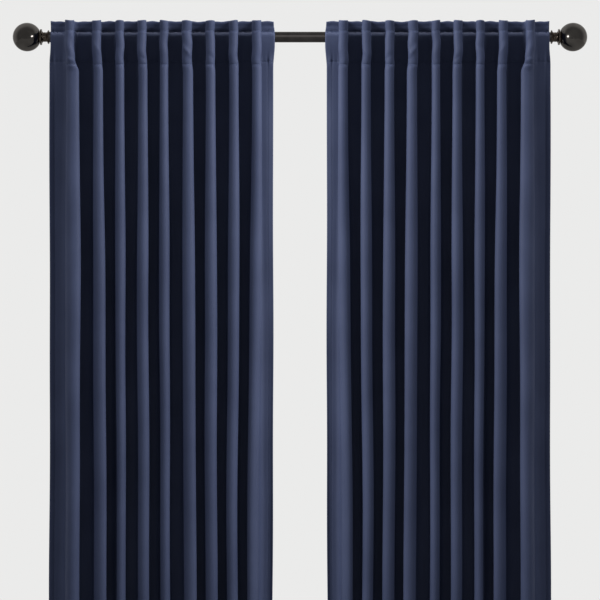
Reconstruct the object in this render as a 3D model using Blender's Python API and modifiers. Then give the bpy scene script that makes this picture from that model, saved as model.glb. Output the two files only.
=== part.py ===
"""Window curtains on a rod: two back-tab panels on a telescoping rod with ball finials.

The frame is X to the right, -Y into the room and +Z up, in metres. The origin lies on the
wall, midway between the two brackets, at the height of the rod's axis.
"""
import math

import bmesh
import bpy
from mathutils import Vector

# ------------------------------------------------------------------ driving dimensions
GAP = 0.0003                # air between two pieces that touch
WELD = 0.00001              # merge distance, far below the smallest feature
ROUND = 32                  # sides of the large turned pieces
ROUND_SMALL = 16            # sides of screws, studs and plugs

ROD_FROM_WALL = 0.090       # wall to the rod's axis
ROD_LENGTH = 1.212          # end to end of the rod as it is set, without the finials
TUBE_LENGTH = 0.9144        # each of the two tubes, 36 inches
TUBE_RADIUS = 0.0127        # outer tube, 1 inch across
TUBE_WALL = 0.0008

BALL_RADIUS = 0.0343
BALL_CENTRE = 0.049         # from the rod's end to the centre of the ball
BALL_SEAT_RADIUS = 0.0175   # flat where the ball sits on its neck
BALL_BORE_DEPTH = 0.018
FLANGE_RADIUS = 0.0190
FLANGE_THICKNESS = 0.0030
NECK_RADIUS = 0.0118
NECK_MIDDLE = 0.0065        # from the rod's end to the thinnest place of the neck
RING_WALL = 0.0033          # wall of the ring round the outer tube
RING_LIP = 0.0040           # how far the ring reaches back over the tube
RING_THICKNESS = 0.0030

STUD_RADIUS = 0.0040
STUD_REACH = 0.0165         # how far the stud goes into the rod
PLUG_LENGTH = 0.0200
PLUG_INSET = 0.0005

PLATE_WIDTH = 0.034
PLATE_HEIGHT = 0.076
PLATE_THICKNESS = 0.004
PLATE_CORNER = 0.008
ARM_RADIUS = 0.0050
ARM_SPIGOT_RADIUS = 0.0030
CRADLE_WIDTH = 0.012
CRADLE_THICKNESS = 0.0025
CRADLE_BACK_RISE = 0.008    # back leg above the rod's axis
CRADLE_FRONT_RISE = 0.002   # front leg above the rod's axis
CRADLE_ROOM = 0.0077        # air on each side of the cradle, inside the fold in front of it

WALL_SCREW_RADIUS = 0.0020
WALL_SCREW_LENGTH = 0.032   # under the head
WALL_SCREW_HEAD = 0.0042
WALL_SCREW_HEAD_HEIGHT = 0.0024
WALL_SCREW_SPREAD = 0.026   # from the arm's axis to each screw
SET_SCREW_RADIUS = 0.0025
SET_SCREW_SHANK = 0.0120
SET_SCREW_HEAD = 0.0060
SET_SCREW_HEAD_HEIGHT = 0.0050

PANEL_FLAT_WIDTH = 1.321    # 52 inches of cloth across, before it is gathered
PANEL_LENGTH = 2.134        # 84 inches from the top of the header to the hem
PANEL_PLAY = 0.0015         # from the finial's ring to the panel's outer edge
MIDDLE_GAP = 0.1282         # between the leading edges of the two panels
CLOTH = 0.0010              # thickness of the face cloth
BAND_CLOTH = 0.0010
BAND_OVER_TABS = 0.0016     # band above the tabs' upper ends
BAND_UNDER_TABS = 0.0055    # band below the tabs' lower ends
HEADING = 0.0226            # cloth that stands above the band
TABS = 10                   # on each panel
TAB_WIDTH = 0.026
TAB_CLOTH = 0.0012
TAB_DROP = 0.0600           # from the rod's axis down to where a tab's lower end is sewn
TAB_SLIDE = 0.0005          # air between a tab and the rod it slides on
TAB_FLAT = 0.0015           # flat cloth beside each tab, before a fold begins
OUTER_HEM = 0.0040          # outer edge to the first tab
LEADING_HEM = 0.0025        # last tab to the leading edge
BAY_FOOT_RADIUS = 0.00425   # where the fold in front of the bracket leaves the rod
CREST_SHARE = 0.672         # crest radius of a plain fold, of half its width

# ------------------------------------------------------------------ sizes that follow
ROD_Y = -ROD_FROM_WALL
ROD_END = ROD_LENGTH / 2
TUBE_BORE = TUBE_RADIUS - TUBE_WALL
INNER_TUBE_RADIUS = TUBE_BORE - GAP
INNER_TUBE_BORE = INNER_TUBE_RADIUS - TUBE_WALL
THREAD_RADIUS = STUD_RADIUS + GAP
BALL_SEAT = BALL_CENTRE - math.sqrt(BALL_RADIUS ** 2 - BALL_SEAT_RADIUS ** 2)
RING_RADIUS = TUBE_RADIUS + GAP + RING_WALL
BAND_BACK = TUBE_RADIUS + TAB_SLIDE                 # back of the band, in front of the axis
CLOTH_FRONT = BAND_BACK + BAND_CLOTH + GAP + CLOTH  # front of the cloth in a valley
BAND_TOP = TUBE_RADIUS + TAB_SLIDE + TAB_CLOTH + BAND_OVER_TABS
BAND_BOTTOM = -TAB_DROP - BAND_UNDER_TABS
HEADER_RISE = BAND_TOP + HEADING
VALLEY_FLAT = TAB_WIDTH + 2 * TAB_FLAT
BAY_CREST_RADIUS = CRADLE_WIDTH / 2 + CRADLE_ROOM + CLOTH + GAP + BAND_CLOTH
BRACKET_BAY = VALLEY_FLAT + 2 * (BAY_CREST_RADIUS + BAY_FOOT_RADIUS)
PANEL_OUTER_EDGE = ROD_END - RING_LIP - PANEL_PLAY
FIRST_TAB = PANEL_OUTER_EDGE - OUTER_HEM - TAB_WIDTH / 2
SECOND_TAB = FIRST_TAB - BRACKET_BAY
LAST_TAB = MIDDLE_GAP / 2 + LEADING_HEM + TAB_WIDTH / 2
TAB_PITCH = (SECOND_TAB - LAST_TAB) / (TABS - 2)
BRACKET_X = (FIRST_TAB + SECOND_TAB) / 2


def tab_distances():
    """Distance from the middle of the rod to each tab, from the outer tab inwards."""
    return [FIRST_TAB] + [SECOND_TAB - k * TAB_PITCH for k in range(TABS - 1)]


# ------------------------------------------------------------------ scene and materials
def clear_scene():
    for thing in list(bpy.data.objects):
        bpy.data.objects.remove(thing, do_unlink=True)


def collection(name):
    made = bpy.data.collections.new(name)
    bpy.context.scene.collection.children.link(made)
    return made


def material(name, colour, roughness, metallic):
    made = bpy.data.materials.new(name)
    made.use_nodes = True
    shader = made.node_tree.nodes["Principled BSDF"]
    shader.inputs["Base Color"].default_value = (*colour, 1.0)
    shader.inputs["Roughness"].default_value = roughness
    shader.inputs["Metallic"].default_value = metallic
    return made


def empty(name, place, parent=None):
    made = bpy.data.objects.new(name, None)
    PARTS.objects.link(made)
    made.parent = parent
    made.location = place
    return made


def add_part(name, mesh, skin, parent, place=(0, 0, 0), turn=(0, 0, 0)):
    """Link one sub-part: a mesh with its own material, placed under its parent."""
    made = bpy.data.objects.new(name, mesh)
    PARTS.objects.link(made)
    made.parent = parent
    made.location = place
    made.rotation_euler = turn
    finish = skin.copy()
    finish.name = name
    mesh.materials.append(finish)
    return made


# ------------------------------------------------------------------ ways of making shapes
def arc(centre, radius, start, end, steps):
    """Points on an arc, from angle start to angle end in degrees, both ends included."""
    points = []
    for k in range(steps + 1):
        angle = math.radians(start + (end - start) * k / steps)
        points.append((centre[0] + radius * math.cos(angle), centre[1] + radius * math.sin(angle)))
    return points


def turned(name, profile, skin, parent, place, turn, sides=ROUND, ring=False):
    """A turned piece: a profile of (radius, height), down its outer side, round local Z.

    With ring set, the profile is a closed loop that stays clear of the axis.
    """
    count = len(profile)
    edges = [(k, k + 1) for k in range(count - 1)]
    if ring:
        edges.append((count - 1, 0))
    mesh = bpy.data.meshes.new(name)
    mesh.from_pydata([(r, 0.0, h) for r, h in profile], edges, [])
    piece = add_part(name, mesh, skin, parent, place, turn)
    screw = piece.modifiers.new("turn", "SCREW")
    screw.axis = "Z"
    screw.steps = sides
    screw.render_steps = sides
    screw.use_merge_vertices = True
    screw.merge_threshold = WELD
    screw.use_smooth_shade = True
    smooth = piece.modifiers.new("weld", "WELD")
    smooth.merge_threshold = WELD
    return piece


def strip_mesh(name, rows, across):
    """An open strip: each row point is carried along the vector across."""
    mesh = bpy.data.meshes.new(name)
    step = Vector(across)
    near = [Vector(p) for p in rows]
    count = len(near)
    faces = [(k, count + k, count + k + 1, k + 1) for k in range(count - 1)]
    mesh.from_pydata(near + [p + step for p in near], [], faces)
    return mesh


def thicken(piece, thickness, side):
    """Give an open strip its thickness: side 1 grows along its faces' normals, -1 against."""
    solid = piece.modifiers.new("thickness", "SOLIDIFY")
    solid.thickness = thickness
    solid.offset = side
    solid.use_even_offset = True
    return solid


def shade_round(mesh):
    mesh.shade_smooth()
    mesh.set_sharp_from_angle(angle=math.radians(35))


def drill(piece, name, radius, length, place, turn):
    """Cut a round hole whose cutter is placed under the piece's own parent."""
    bpy.ops.mesh.primitive_cylinder_add(vertices=ROUND_SMALL, radius=radius, depth=length)
    cutter = bpy.context.object
    cutter.name = name
    for home in list(cutter.users_collection):
        home.objects.unlink(cutter)
    CUTTERS.objects.link(cutter)
    cutter.parent = piece.parent
    cutter.location = place
    cutter.rotation_euler = turn
    cutter.hide_render = True
    cutter.display_type = "WIRE"
    cut = piece.modifiers.new(name, "BOOLEAN")
    cut.operation = "DIFFERENCE"
    cut.solver = "EXACT"
    cut.object = cutter


def outwards(side):
    """Turn that points a piece's local Z out of the rod's end on this side."""
    return (0, side * math.radians(90), 0)


# ------------------------------------------------------------------ rod
def rod_tube(name, outer, bore, side, parent):
    """One plain tube of the rod, from its finial end inwards."""
    half = TUBE_LENGTH / 2
    profile = [(outer, half), (outer, -half), (bore, -half), (bore, half)]
    middle = side * (ROD_END - half)
    return turned(name, profile, BRONZE, parent, (middle, 0, 0), outwards(side), ring=True)


def end_plug(name, bore, side, parent):
    """Threaded insert in the rod's end, which the finial's stud screws into."""
    outer = bore - GAP
    top = -PLUG_INSET
    low = top - PLUG_LENGTH
    profile = [(outer, top), (outer, low), (THREAD_RADIUS, low), (THREAD_RADIUS, top)]
    place = (side * ROD_END, 0, 0)
    return turned(name, profile, PLUG_PLASTIC, parent, place, outwards(side), ROUND_SMALL, True)


# ------------------------------------------------------------------ finial
def finial_ball(name, side, parent):
    """The ball, flat where it meets its neck, with a blind bore for the stud."""
    seat_angle = -math.degrees(math.acos(BALL_SEAT_RADIUS / BALL_RADIUS))
    outside = arc((0, BALL_CENTRE), BALL_RADIUS, 90, seat_angle, 12)
    outside[0] = (0, BALL_CENTRE + BALL_RADIUS)
    bottom = BALL_SEAT + BALL_BORE_DEPTH
    bore = [(THREAD_RADIUS, BALL_SEAT), (THREAD_RADIUS, bottom), (0, bottom)]
    place = (side * ROD_END, 0, 0)
    return turned(name, outside + bore, BRONZE, parent, place, outwards(side))


def finial_neck(name, tube_radius, side, parent):
    """Turned neck: a flange under the ball, a waist, and a ring that caps the tube."""
    top = BALL_SEAT - GAP
    chamfer = 0.0008
    flange_top = top - 2 * chamfer
    flange_low = flange_top - FLANGE_THICKNESS
    ring_low = -RING_LIP
    ring_top = ring_low + RING_THICKNESS
    socket = tube_radius + GAP
    flange = [
        (BALL_SEAT_RADIUS, top),
        (FLANGE_RADIUS - chamfer, flange_top + chamfer / 2),
        (FLANGE_RADIUS, flange_top - chamfer / 2),
        (FLANGE_RADIUS, flange_low + chamfer),
        (FLANGE_RADIUS - chamfer, flange_low),
    ]
    steps = 4
    upper = flange_low - NECK_MIDDLE
    lower = NECK_MIDDLE - ring_top
    waist = []
    for k in range(1, steps + 1):
        share = 1 - math.sin(math.radians(90) * k / steps)
        height = NECK_MIDDLE + upper * math.cos(math.radians(90) * k / steps)
        waist.append((NECK_RADIUS + (FLANGE_RADIUS - chamfer - NECK_RADIUS) * share, height))
    for k in range(1, steps + 1):
        share = 1 - math.cos(math.radians(90) * k / steps)
        height = NECK_MIDDLE - lower * math.sin(math.radians(90) * k / steps)
        waist.append((NECK_RADIUS + (RING_RADIUS - chamfer - NECK_RADIUS) * share, height))
    ring = [
        (RING_RADIUS, ring_top - chamfer),
        (RING_RADIUS, ring_low + chamfer),
        (RING_RADIUS - chamfer, ring_low),
        (socket, ring_low),
        (socket, GAP),
        (THREAD_RADIUS, GAP),
        (THREAD_RADIUS, top),
    ]
    place = (side * ROD_END, 0, 0)
    return turned(name, flange + waist + ring, BRONZE, parent, place, outwards(side), ring=True)


def finial_stud(name, side, parent):
    """Threaded stud that joins ball, neck and rod."""
    tip = 0.0010
    top = BALL_SEAT + BALL_BORE_DEPTH - GAP
    low = -STUD_REACH
    profile = [
        (0, top),
        (STUD_RADIUS - tip, top),
        (STUD_RADIUS, top - tip),
        (STUD_RADIUS, low + tip),
        (STUD_RADIUS - tip, low),
        (0, low),
    ]
    place = (side * ROD_END, 0, 0)
    return turned(name, profile, STEEL, parent, place, outwards(side), ROUND_SMALL)


# ------------------------------------------------------------------ bracket
def circle(centre, radius, sides):
    return arc(centre, radius, 0, 360 - 360 / sides, sides - 1)


def wall_plate(name, parent):
    """Flat plate with rounded corners, two screw holes and the arm's hole."""
    across = PLATE_WIDTH / 2 - PLATE_CORNER
    up = PLATE_HEIGHT / 2 - PLATE_CORNER
    corners = [((across, up), 0), ((-across, up), 90), ((-across, -up), 180), ((across, -up), 270)]
    outline = []
    for centre, start in corners:
        outline += arc(centre, PLATE_CORNER, start, start + 90, 5)
    loops = [outline, circle((0, 0), ARM_SPIGOT_RADIUS + GAP, ROUND_SMALL)]
    for way in (1, -1):
        loops.append(circle((0, way * WALL_SCREW_SPREAD), WALL_SCREW_RADIUS + GAP, ROUND_SMALL))
    curve = bpy.data.curves.new(name, "CURVE")
    curve.dimensions = "2D"
    curve.fill_mode = "BOTH"
    curve.extrude = PLATE_THICKNESS / 2
    for loop in loops:
        spline = curve.splines.new("POLY")
        spline.points.add(len(loop) - 1)
        spline.use_cyclic_u = True
        for point, (x, y) in zip(spline.points, loop):
            point.co = (x, y, 0, 1)
    guide = bpy.data.objects.new(name + "_outline", curve)
    PARTS.objects.link(guide)
    shape = guide.evaluated_get(bpy.context.evaluated_depsgraph_get())
    mesh = bpy.data.meshes.new_from_object(shape)
    bpy.data.objects.remove(guide)
    work = bmesh.new()
    work.from_mesh(mesh)
    bmesh.ops.remove_doubles(work, verts=work.verts, dist=WELD)
    work.to_mesh(mesh)
    work.free()
    shade_round(mesh)
    place = (0, -PLATE_THICKNESS / 2, 0)
    return add_part(name, mesh, BRONZE, parent, place, (math.radians(90), 0, 0))


def bracket_arm(name, tube_radius, parent):
    """Round arm, riveted into the wall plate behind and through the cradle in front."""
    low = PLATE_THICKNESS + GAP
    high = ROD_FROM_WALL - tube_radius - GAP - CRADLE_THICKNESS - GAP
    rivet_top = high + GAP + CRADLE_THICKNESS - GAP
    profile = [
        (0, rivet_top),
        (ARM_SPIGOT_RADIUS, rivet_top),
        (ARM_SPIGOT_RADIUS, high),
        (ARM_RADIUS, high),
        (ARM_RADIUS, low),
        (ARM_SPIGOT_RADIUS, low),
        (ARM_SPIGOT_RADIUS, GAP),
        (0, GAP),
    ]
    return turned(name, profile, BRONZE, parent, (0, 0, 0), (math.radians(90), 0, 0), ROUND_SMALL)


def rod_cradle(name, tube_radius, parent):
    """U-shaped strap that the rod drops into, open at the top."""
    radius = tube_radius + GAP
    path = [(radius, CRADLE_BACK_RISE)]
    path += arc((0, 0), radius, 0, -180, 20)
    path.append((-radius, CRADLE_FRONT_RISE))
    half = CRADLE_WIDTH / 2
    mesh = strip_mesh(name, [(-half, y, z) for y, z in path], (CRADLE_WIDTH, 0, 0))
    piece = add_part(name, mesh, BRONZE, parent, (0, ROD_Y, 0))
    thicken(piece, CRADLE_THICKNESS, 1)
    reach = CRADLE_THICKNESS * 3
    back = ROD_Y + radius + CRADLE_THICKNESS / 2
    under = -radius - CRADLE_THICKNESS / 2
    drill(piece, name + "_rivet_hole", ARM_SPIGOT_RADIUS + GAP, reach, (0, back, 0),
          (math.radians(90), 0, 0))
    drill(piece, name + "_screw_hole", SET_SCREW_RADIUS + GAP, reach, (0, ROD_Y, under), (0, 0, 0))
    return piece


def set_screw(name, tube_radius, parent):
    """Thumb screw under the cradle, whose tip presses on the rod."""
    edge = 0.0006
    head_top = -SET_SCREW_SHANK
    head_low = head_top - SET_SCREW_HEAD_HEIGHT
    profile = [
        (0, 0),
        (SET_SCREW_RADIUS - edge, 0),
        (SET_SCREW_RADIUS, -edge),
        (SET_SCREW_RADIUS, head_top),
        (SET_SCREW_HEAD - edge, head_top),
        (SET_SCREW_HEAD, head_top - edge),
        (SET_SCREW_HEAD, head_low + edge),
        (SET_SCREW_HEAD - edge, head_low),
        (0, head_low),
    ]
    place = (0, ROD_Y, -tube_radius - GAP)
    return turned(name, profile, STEEL, parent, place, (0, 0, 0), ROUND_SMALL)


def wall_screw(name, height, parent):
    """Screw through the wall plate into the wall, with a domed head."""
    under = PLATE_THICKNESS + GAP
    point = under - WALL_SCREW_LENGTH
    taper = WALL_SCREW_RADIUS * 2.5
    profile = [
        (0, under + WALL_SCREW_HEAD_HEIGHT),
        (WALL_SCREW_HEAD * 0.55, under + WALL_SCREW_HEAD_HEIGHT * 0.85),
        (WALL_SCREW_HEAD * 0.88, under + WALL_SCREW_HEAD_HEIGHT * 0.50),
        (WALL_SCREW_HEAD, under),
        (WALL_SCREW_RADIUS, under),
        (WALL_SCREW_RADIUS, point + taper),
        (0, point),
    ]
    turn = (math.radians(90), 0, 0)
    return turned(name, profile, STEEL, parent, (0, 0, height), turn, ROUND_SMALL)


def bracket(side_name, side, tube_radius, parent):
    """Everything that stands on the wall on one side."""
    stand = empty(side_name + "_bracket", (side * BRACKET_X, 0, 0), parent)
    wall_plate(side_name + "_wall_plate", stand)
    bracket_arm(side_name + "_bracket_arm", tube_radius, stand)
    rod_cradle(side_name + "_rod_cradle", tube_radius, stand)
    set_screw(side_name + "_set_screw", tube_radius, stand)
    wall_screw(side_name + "_upper_wall_screw", WALL_SCREW_SPREAD, stand)
    wall_screw(side_name + "_lower_wall_screw", -WALL_SCREW_SPREAD, stand)


# ------------------------------------------------------------------ curtain panel
def fold_depth():
    """Depth of the folds that takes up the panel's whole flat width.

    Every fold has two straight flanks. What the flats, fillets and crests don't take up
    of the flat width is shared equally between the flanks.
    """
    fixed = OUTER_HEM + TAB_WIDTH + LEADING_HEM + (TABS - 1) * VALLEY_FLAT
    folds = 0
    for crest, foot in fold_radii():
        fixed += math.pi * (crest + foot)
        folds += 1
    flank = (PANEL_FLAT_WIDTH - fixed) / (2 * folds)
    crest, foot = fold_radii()[-1]
    return flank + crest + foot


def fold_radii():
    """Crest and foot radius of each fold, from the outer edge inwards."""
    plain = (TAB_PITCH - VALLEY_FLAT) / 2
    crest = plain * CREST_SHARE
    return [(BAY_CREST_RADIUS, BAY_FOOT_RADIUS)] + [(crest, plain - crest)] * (TABS - 2)


def fold_path(inset):
    """Plan of a left panel's cloth: flat at each tab, with a fold forward between tabs.

    The path runs from the outer edge to the leading edge, as (x, y) with y measured from
    the rod's axis. It is the front face of the cloth moved back by inset: the crests get
    tighter by it and the feet wider.
    """
    depth = fold_depth()
    base = -CLOTH_FRONT + inset
    tabs = [-distance for distance in tab_distances()]
    path = [(-PANEL_OUTER_EDGE, base)]
    for k, (crest, foot) in enumerate(fold_radii()):
        middle = (tabs[k] + tabs[k + 1]) / 2
        half = crest + foot
        tight = crest - inset
        wide = foot + inset
        far = -CLOTH_FRONT - depth + crest
        near = -CLOTH_FRONT - foot
        path += arc((middle - half, near), wide, 90, 0, 3)
        path += arc((middle, far), tight, -180, 0, 6)
        path += arc((middle + half, near), wide, 180, 90, 3)
    path.append((-MIDDLE_GAP / 2, base))
    return path


def hung_strip(name, inset, thickness, top, bottom, side, skin, parent):
    """A gathered strip of cloth that hangs straight down from top to bottom."""
    path = fold_path(inset)
    if side > 0:
        path = [(-x, y) for x, y in reversed(path)]
    mesh = strip_mesh(name, [(x, y, top) for x, y in path], (0, 0, bottom - top))
    piece = add_part(name, mesh, skin, parent)
    thicken(piece, thickness, -1)
    shade_round(mesh)
    return piece


def back_tab(name, x, parent):
    """Loop of cloth behind the rod: over its top, down its back and forward to the band."""
    inner = TUBE_RADIUS + TAB_SLIDE
    front = -BAND_BACK + GAP
    reach = math.hypot(front, TAB_DROP)
    to_end = math.degrees(math.atan2(-TAB_DROP, front))
    tangent = to_end + math.degrees(math.acos(inner / reach))
    path = [(front, inner)]
    path += arc((0, 0), inner, 90, tangent, 10)
    path.append((front, -TAB_DROP))
    half = TAB_WIDTH / 2
    mesh = strip_mesh(name, [(-half, y, z) for y, z in path], (TAB_WIDTH, 0, 0))
    piece = add_part(name, mesh, TAB_FABRIC, parent, (x, 0, 0))
    thicken(piece, TAB_CLOTH, 1)
    shade_round(mesh)
    return piece


def panel(side_name, side, parent):
    """One curtain panel: face cloth, the band sewn behind its header, and its tabs."""
    hung = empty(side_name + "_panel", (0, 0, 0), parent)
    hung_strip(side_name + "_panel_cloth", 0, CLOTH, HEADER_RISE, HEADER_RISE - PANEL_LENGTH,
               side, FACE_FABRIC, hung)
    hung_strip(side_name + "_pocket_band", CLOTH + GAP, BAND_CLOTH, BAND_TOP, BAND_BOTTOM,
               side, BAND_FABRIC, hung)
    for number, distance in enumerate(tab_distances(), start=1):
        back_tab(f"{side_name}_tab_{number:02d}", side * distance, hung)


# ------------------------------------------------------------------ the whole set
clear_scene()
PARTS = collection("window_curtains_on_a_rod")
CUTTERS = collection("cutters")
BRONZE = material("dark_bronze", (0.030, 0.027, 0.025), 0.32, 0.85)
STEEL = material("plated_steel", (0.35, 0.34, 0.33), 0.35, 1.0)
PLUG_PLASTIC = material("plug_plastic", (0.03, 0.03, 0.03), 0.5, 0.0)
FACE_FABRIC = material("navy_cloth", (0.035, 0.050, 0.115), 0.62, 0.0)
BAND_FABRIC = material("band_cloth", (0.032, 0.046, 0.105), 0.70, 0.0)
TAB_FABRIC = material("tab_cloth", (0.033, 0.048, 0.110), 0.66, 0.0)

whole = empty("curtain_set", (0, 0, 0))
rod_axis = empty("rod_axis", (0, ROD_Y, 0), whole)

rod_tube("outer_tube", TUBE_RADIUS, TUBE_BORE, -1, rod_axis)
rod_tube("inner_tube", INNER_TUBE_RADIUS, INNER_TUBE_BORE, 1, rod_axis)
end_plug("left_end_plug", TUBE_BORE, -1, rod_axis)
end_plug("right_end_plug", INNER_TUBE_BORE, 1, rod_axis)

for word, way, radius in (("left", -1, TUBE_RADIUS), ("right", 1, INNER_TUBE_RADIUS)):
    finial_ball(word + "_finial_ball", way, rod_axis)
    finial_neck(word + "_finial_neck", radius, way, rod_axis)
    finial_stud(word + "_finial_stud", way, rod_axis)
    bracket(word, way, radius, whole)
    panel(word, way, rod_axis)
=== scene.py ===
# %% [markdown]
# # Window curtains on a rod
#
# Two navy back-tab curtains hang on a dark bronze rod with a ball at each end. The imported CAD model
# already says where every part is and how it moves. This file gives the parts their looks: cloth that
# falls in folds, hems and stitching, turned and painted metal. Lengths are in metres.

# %% Load the frame
import math

import bpy
import bmesh
import numpy as np
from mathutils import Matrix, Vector


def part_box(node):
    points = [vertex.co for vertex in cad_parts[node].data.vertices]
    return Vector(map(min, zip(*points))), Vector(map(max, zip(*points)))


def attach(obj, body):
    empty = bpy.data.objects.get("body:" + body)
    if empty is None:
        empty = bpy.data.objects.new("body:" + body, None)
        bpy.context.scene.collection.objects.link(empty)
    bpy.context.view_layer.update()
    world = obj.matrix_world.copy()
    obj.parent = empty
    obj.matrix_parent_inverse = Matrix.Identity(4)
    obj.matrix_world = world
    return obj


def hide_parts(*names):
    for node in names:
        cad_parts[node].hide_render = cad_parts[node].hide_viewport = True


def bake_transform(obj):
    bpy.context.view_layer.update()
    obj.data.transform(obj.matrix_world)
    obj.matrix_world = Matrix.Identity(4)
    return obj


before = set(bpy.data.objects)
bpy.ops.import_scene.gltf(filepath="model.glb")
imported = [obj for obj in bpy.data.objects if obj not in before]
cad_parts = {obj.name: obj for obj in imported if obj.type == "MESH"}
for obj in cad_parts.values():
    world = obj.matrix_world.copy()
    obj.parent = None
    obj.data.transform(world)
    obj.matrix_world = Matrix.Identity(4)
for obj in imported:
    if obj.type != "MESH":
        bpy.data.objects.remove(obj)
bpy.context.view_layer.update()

# %% [markdown]
# ## Measures
#
# The rod's axis, the tabs' places and the hung size of the cloth are read from the boxes of the CAD
# nodes, so the new pieces land on the old ones. No box tells how wide the cloth is when it lies flat, so
# that is typed in. Everything is worked out for the left side, and the right side mirrors it. Three
# directions are enough to talk about the cloth: across it, down it, and how far in front of the rod's
# axis it hangs.

# %% Read the measures
SIDES = {"left": -1, "right": 1}


def middle(name):
    """Centre of a node's box, as a numpy array."""
    low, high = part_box(name)
    return (np.array(low) + np.array(high)) / 2


def size(name):
    """Size of a node's box, as a numpy array."""
    low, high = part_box(name)
    return np.array(high) - np.array(low)


ROD_Y = middle("outer_tube")[1]
ROD_RADIUS = size("outer_tube")[2] / 2
ROD_END = -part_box("outer_tube")[0].x
TAB_X = np.array([middle(f"left_tab_{k:02d}")[0] for k in range(1, 11)])
TAB_WIDTH = size("left_tab_01")[0]
OUTER_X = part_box("left_panel_cloth")[0].x
LEADING_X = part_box("left_panel_cloth")[1].x
HEADER_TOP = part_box("left_panel_cloth")[1].z
LENGTH = size("left_panel_cloth")[2]
FLAT_WIDTH = 1.321              # 52 inches, before the cloth is gathered
print("rod radius", round(ROD_RADIUS, 4), "tabs at", TAB_X.round(3), "length", round(LENGTH, 3))

# %% [markdown]
# ## Small tools
#
# Every new piece is a surface worked out as numpy arrays. One helper puts such arrays into a mesh, and
# one lists the faces of a grid of points. A smooth step is the curve that everything here fades with.

# %% Mesh helpers
PIECES = []


def put_mesh(name, points, quads, uv=None, smooth=True):
    """Make an object from points (n, 3) and quads (m, 4); uv holds one pair for each point."""
    points = np.asarray(points, np.float32).reshape(-1, 3)
    quads = np.asarray(quads, np.int32).reshape(-1, 4)
    mesh = bpy.data.meshes.new(name)
    mesh.vertices.add(len(points))
    mesh.vertices.foreach_set("co", points.ravel())
    mesh.loops.add(quads.size)
    mesh.loops.foreach_set("vertex_index", quads.ravel())
    mesh.polygons.add(len(quads))
    mesh.polygons.foreach_set("loop_start", np.arange(0, quads.size, 4, dtype=np.int32))
    mesh.polygons.foreach_set("loop_total", np.full(len(quads), 4, np.int32))
    if uv is not None:
        layer_uv = mesh.uv_layers.new(name="cloth")
        layer_uv.data.foreach_set("uv", np.asarray(uv, np.float32)[quads.ravel()].ravel())
    mesh.update(calc_edges=True)
    mesh.validate()
    if smooth:
        mesh.shade_smooth()
    piece = bpy.data.objects.new(name, mesh)
    bpy.context.scene.collection.objects.link(piece)
    PIECES.append(piece)
    return piece


def grid_quads(rows, columns, wrap_rows=False, wrap_columns=False):
    """Quads of a grid of points stored row by row; wrapping joins its last line to its first."""
    r = np.arange(rows if wrap_rows else rows - 1)
    c = np.arange(columns if wrap_columns else columns - 1)
    r, c = np.meshgrid(r, c, indexing="ij")
    r2, c2 = (r + 1) % rows, (c + 1) % columns
    corners = [r * columns + c, r2 * columns + c, r2 * columns + c2, r * columns + c2]
    return np.stack(corners, -1).reshape(-1, 4)


def step(x, low, high):
    """Smooth rise from 0 at low to 1 at high: three t squared less two t cubed."""
    t = np.clip((np.asarray(x, float) - low) / (high - low), 0, 1)
    return t * t * (3 - 2 * t)


def bell(x, centre, width):
    """A bump of height 1 at centre: e to the minus square of the distance over the width."""
    return np.exp(-(((np.asarray(x, float) - centre) / width) ** 2))


# %% [markdown]
# ## Materials
#
# The cloth is a tight blackout sateen: dull navy, with a little sheen where a fold turns towards the
# light. Its weave is drawn on the piece's own UV map, whose units are metres of cloth, so the pattern
# follows the folds. Three scales are layered: the crossed threads, slubs that run down the cloth, and
# soft patches of dye.

# %% Material helpers
def new_material(name, colour, roughness, metallic=0.0):
    """A Principled material, returned with its node tree and shader."""
    made = bpy.data.materials.new(name)
    made.use_nodes = True
    tree = made.node_tree
    shader = tree.nodes["Principled BSDF"]
    shader.inputs["Base Color"].default_value = (*colour, 1)
    shader.inputs["Roughness"].default_value = roughness
    shader.inputs["Metallic"].default_value = metallic
    return made, tree, shader


def add_node(tree, kind, **values):
    """Add one node; a value that names a socket is set on it, any other on the node."""
    made = tree.nodes.new(kind)
    for key, value in values.items():
        if key in made.inputs:
            made.inputs[key].default_value = value
        else:
            setattr(made, key, value)
    return made


def multiply_add(tree, first, factor, added):
    """One socket times a factor, a number or a socket, plus another socket."""
    made = add_node(tree, "ShaderNodeMath", operation="MULTIPLY_ADD")
    tree.links.new(first, made.inputs[0])
    if isinstance(factor, float):
        made.inputs[1].default_value = factor
    else:
        tree.links.new(factor, made.inputs[1])
    if isinstance(added, float):
        made.inputs[2].default_value = added
    else:
        tree.links.new(added, made.inputs[2])
    return made.outputs["Value"]


def stretch(tree, value, low, high, to_low=0.0, to_high=1.0):
    """Map a socket's values from low..high to to_low..to_high."""
    made = add_node(tree, "ShaderNodeMapRange")
    for key, number in (("From Min", low), ("From Max", high), ("To Min", to_low), ("To Max", to_high)):
        made.inputs[key].default_value = number
    tree.links.new(value, made.inputs["Value"])
    return made.outputs["Result"]


def tint(tree, shader, factor, dark, light):
    """Colour the shader between dark and light by a factor socket."""
    mix = add_node(tree, "ShaderNodeMix", data_type="RGBA")
    tree.links.new(factor, mix.inputs["Factor"])
    colours = [s for s in mix.inputs if s.type == "RGBA"]
    colours[0].default_value = (*dark, 1)
    colours[1].default_value = (*light, 1)
    out = [s for s in mix.outputs if s.type == "RGBA"][0]
    tree.links.new(out, shader.inputs["Base Color"])


def bump(tree, shader, height, strength, distance):
    """Roughen the shader's surface by a height socket, distance metres high."""
    made = add_node(tree, "ShaderNodeBump", Strength=strength, Distance=distance)
    tree.links.new(height, made.inputs["Height"])
    tree.links.new(made.outputs["Normal"], shader.inputs["Normal"])


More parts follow.
